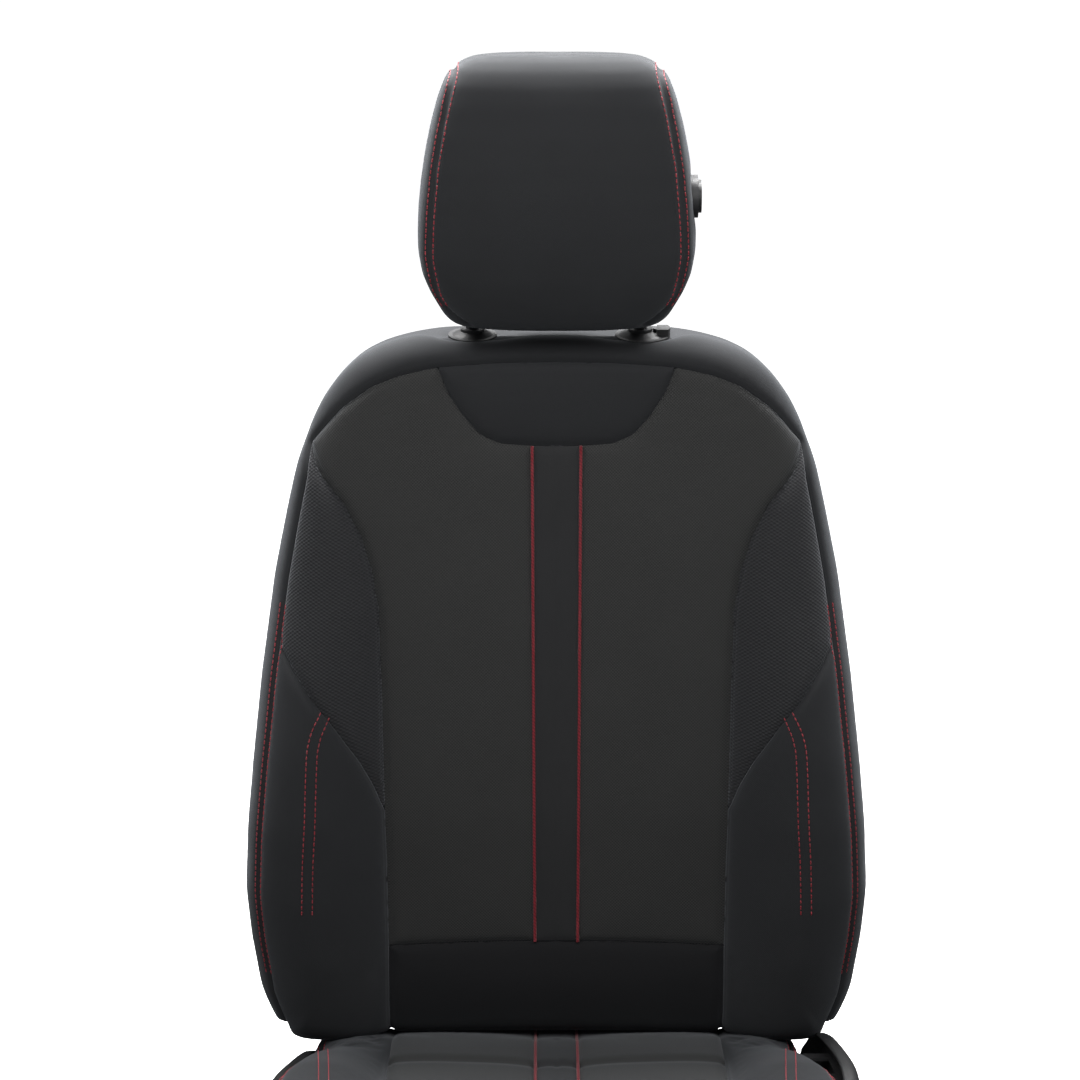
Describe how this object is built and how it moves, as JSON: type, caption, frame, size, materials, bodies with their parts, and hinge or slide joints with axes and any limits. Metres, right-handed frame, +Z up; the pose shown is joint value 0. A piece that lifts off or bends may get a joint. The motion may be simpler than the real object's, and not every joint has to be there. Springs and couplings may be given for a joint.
{
  "type": "reclining sports car seat",
  "caption": "Padded bucket-style vehicle front seat with side bolsters: slides on rails, rises on a link frame, reclines, and has an adjustable headrest.",
  "frame": {"origin": "centre of the four floor bolts, on the floor", "axes": "+Z up; -Y the way the sitter faces; +X towards the levers, the door side of the seat"},
  "size_m": [0.5691, 0.7531, 1.15],
  "materials": {
    "rail_steel": "black e-coat on pressed steel",
    "zinc_steel": "zinc plated",
    "black_tube": "satin black paint",
    "trim_plastic": "fine grained moulding",
    "weave": "diamond woven cloth over foam",
    "knit": "smooth knitted cloth over foam",
    "headrest_plastic": "satin moulding",
    "post_steel": "black chromate"
  },
  "bodies": {
    "floor_rails": {"lower_rail_left": "rail_steel", "lower_rail_right": "rail_steel", "rail_feet": "rail_steel"},
    "sliding_rails": {"upper_rail_left": "zinc_steel", "upper_rail_right": "zinc_steel", "rail_rollers": "zinc_steel", "rail_cross_tube": "black_tube", "handle_pivot_rod": "zinc_steel", "link_brackets": "rail_steel", "link_lower_pins": "zinc_steel"},
    "slide_handle": {"slide_handle_arms": "black_tube", "slide_handle_grip": "trim_plastic"},
    "rear_link": {"rear_links": "zinc_steel", "rear_torsion_tube": "black_tube"},
    "front_link": {"front_links": "zinc_steel", "front_torsion_tube": "black_tube"},
    "cushion_frame": {"cushion_side_frame_left": "rail_steel", "cushion_side_frame_right": "rail_steel", "cushion_front_pan": "rail_steel", "cushion_rear_tube": "rail_steel", "cushion_springs": "zinc_steel", "cushion_centre_pad": "weave", "cushion_bolster_left": "knit", "cushion_bolster_right": "knit", "side_cover_outer": "trim_plastic", "side_cover_inner": "trim_plastic", "cover_screws": "zinc_steel", "window_surround": "trim_plastic", "recliner_covers": "trim_plastic", "recliner_fixed_discs": "zinc_steel", "recliner_bolts": "zinc_steel"},
    "height_lever": {"height_lever": "trim_plastic", "height_lever_spindle": "zinc_steel"},
    "recline_lever": {"recline_lever": "trim_plastic", "recline_lever_spindle": "zinc_steel"},
    "recliner_rod": {"recliner_sync_rod": "zinc_steel", "recliner_release_arm": "rail_steel"},
    "backrest": {"backrest_side_frame_left": "rail_steel", "backrest_side_frame_right": "rail_steel", "backrest_upper_beam": "rail_steel", "backrest_lower_beam": "rail_steel", "backrest_springs": "zinc_steel", "recliner_moving_discs": "zinc_steel", "headrest_sockets": "rail_steel", "backrest_centre_pad": "weave", "backrest_lumbar_roll": "knit", "backrest_bolster_left": "knit", "backrest_bolster_right": "knit", "backrest_shoulder_pad": "knit", "back_panel": "trim_plastic", "headrest_sleeve_plain": "trim_plastic", "headrest_sleeve_locking": "trim_plastic"},
    "sleeve_button": {"sleeve_button": "trim_plastic"},
    "headrest_posts": {"headrest_post_left": "post_steel", "headrest_post_right": "post_steel", "headrest_cross_bar": "post_steel"},
    "headrest": {"headrest_core": "trim_plastic", "headrest_pad": "knit", "headrest_bezel": "headrest_plastic"},
    "headrest_button": {"headrest_button": "headrest_plastic"}
  },
  "joints": [
    {"name": "slide", "type": "slide", "parent": "floor_rails", "child": "sliding_rails", "axis": [0, -1, 0], "range_m": [-0.12, 0.12]},
    {"name": "slide_handle_lift", "type": "hinge", "parent": "sliding_rails", "child": "slide_handle", "pos_m": [0, -0.175, 0.044], "axis": [-1, 0, 0], "range_deg": [0, 10], "stiffness_Nm_per_rad": 20, "springref_deg": -20.05},
    {"name": "height", "type": "hinge", "parent": "sliding_rails", "child": "rear_link", "pos_m": [0, 0.08, 0.075], "axis": [1, 0, 0], "range_deg": [-12, 42]},
    {"name": "front_link_turn", "type": "hinge", "parent": "sliding_rails", "child": "front_link", "pos_m": [0, -0.165, 0.075], "axis": [1, 0, 0], "range_deg": [-12, 42]},
    {"name": "cushion_level", "type": "hinge", "parent": "rear_link", "child": "cushion_frame", "pos_m": [0, 0.15518, 0.10236], "axis": [1, 0, 0], "range_deg": [-42, 12]},
    {"name": "height_lever_pump", "type": "hinge", "parent": "cushion_frame", "child": "height_lever", "pos_m": [0, -0.07, 0.186], "axis": [-1, 0, 0], "range_deg": [-20, 20], "stiffness_Nm_per_rad": 6},
    {"name": "recline_lever_lift", "type": "hinge", "parent": "cushion_frame", "child": "recline_lever", "pos_m": [0, 0.062, 0.19], "axis": [-1, 0, 0], "range_deg": [0, 25], "stiffness_Nm_per_rad": 4, "springref_deg": -17.19},
    {"name": "recliner_release", "type": "hinge", "parent": "cushion_frame", "child": "recliner_rod", "pos_m": [0, 0.2, 0.255], "axis": [-1, 0, 0], "range_deg": [0, 25]},
    {"name": "recline", "type": "hinge", "parent": "cushion_frame", "child": "backrest", "pos_m": [0, 0.2, 0.255], "axis": [-1, 0, 0], "range_deg": [0, 55]},
    {"name": "sleeve_button_press", "type": "slide", "parent": "backrest", "child": "sleeve_button", "axis": [-1, 0, 0], "range_m": [0, 0.003], "stiffness_N_per_m": 600, "springref_m": -0.003},
    {"name": "headrest_height", "type": "slide", "parent": "backrest", "child": "headrest_posts", "axis": [0, -0.0349, 0.9994], "range_m": [0, 0.06]},
    {"name": "headrest_tilt", "type": "hinge", "parent": "headrest_posts", "child": "headrest", "pos_m": [0, 0.25866, 1.01425], "axis": [1, 0, 0], "range_deg": [0, 15]},
    {"name": "headrest_button_press", "type": "slide", "parent": "headrest", "child": "headrest_button", "axis": [-1, 0, 0], "range_m": [0, 0.003], "stiffness_N_per_m": 600, "springref_m": -0.003}
  ],
  "couplings": [
    {"joint": "front_link_turn", "follows": "height", "ratio": 1},
    {"joint": "cushion_level", "follows": "height", "ratio": -1},
    {"joint": "recliner_release", "follows": "recline_lever_lift", "ratio": 1}
  ]
}
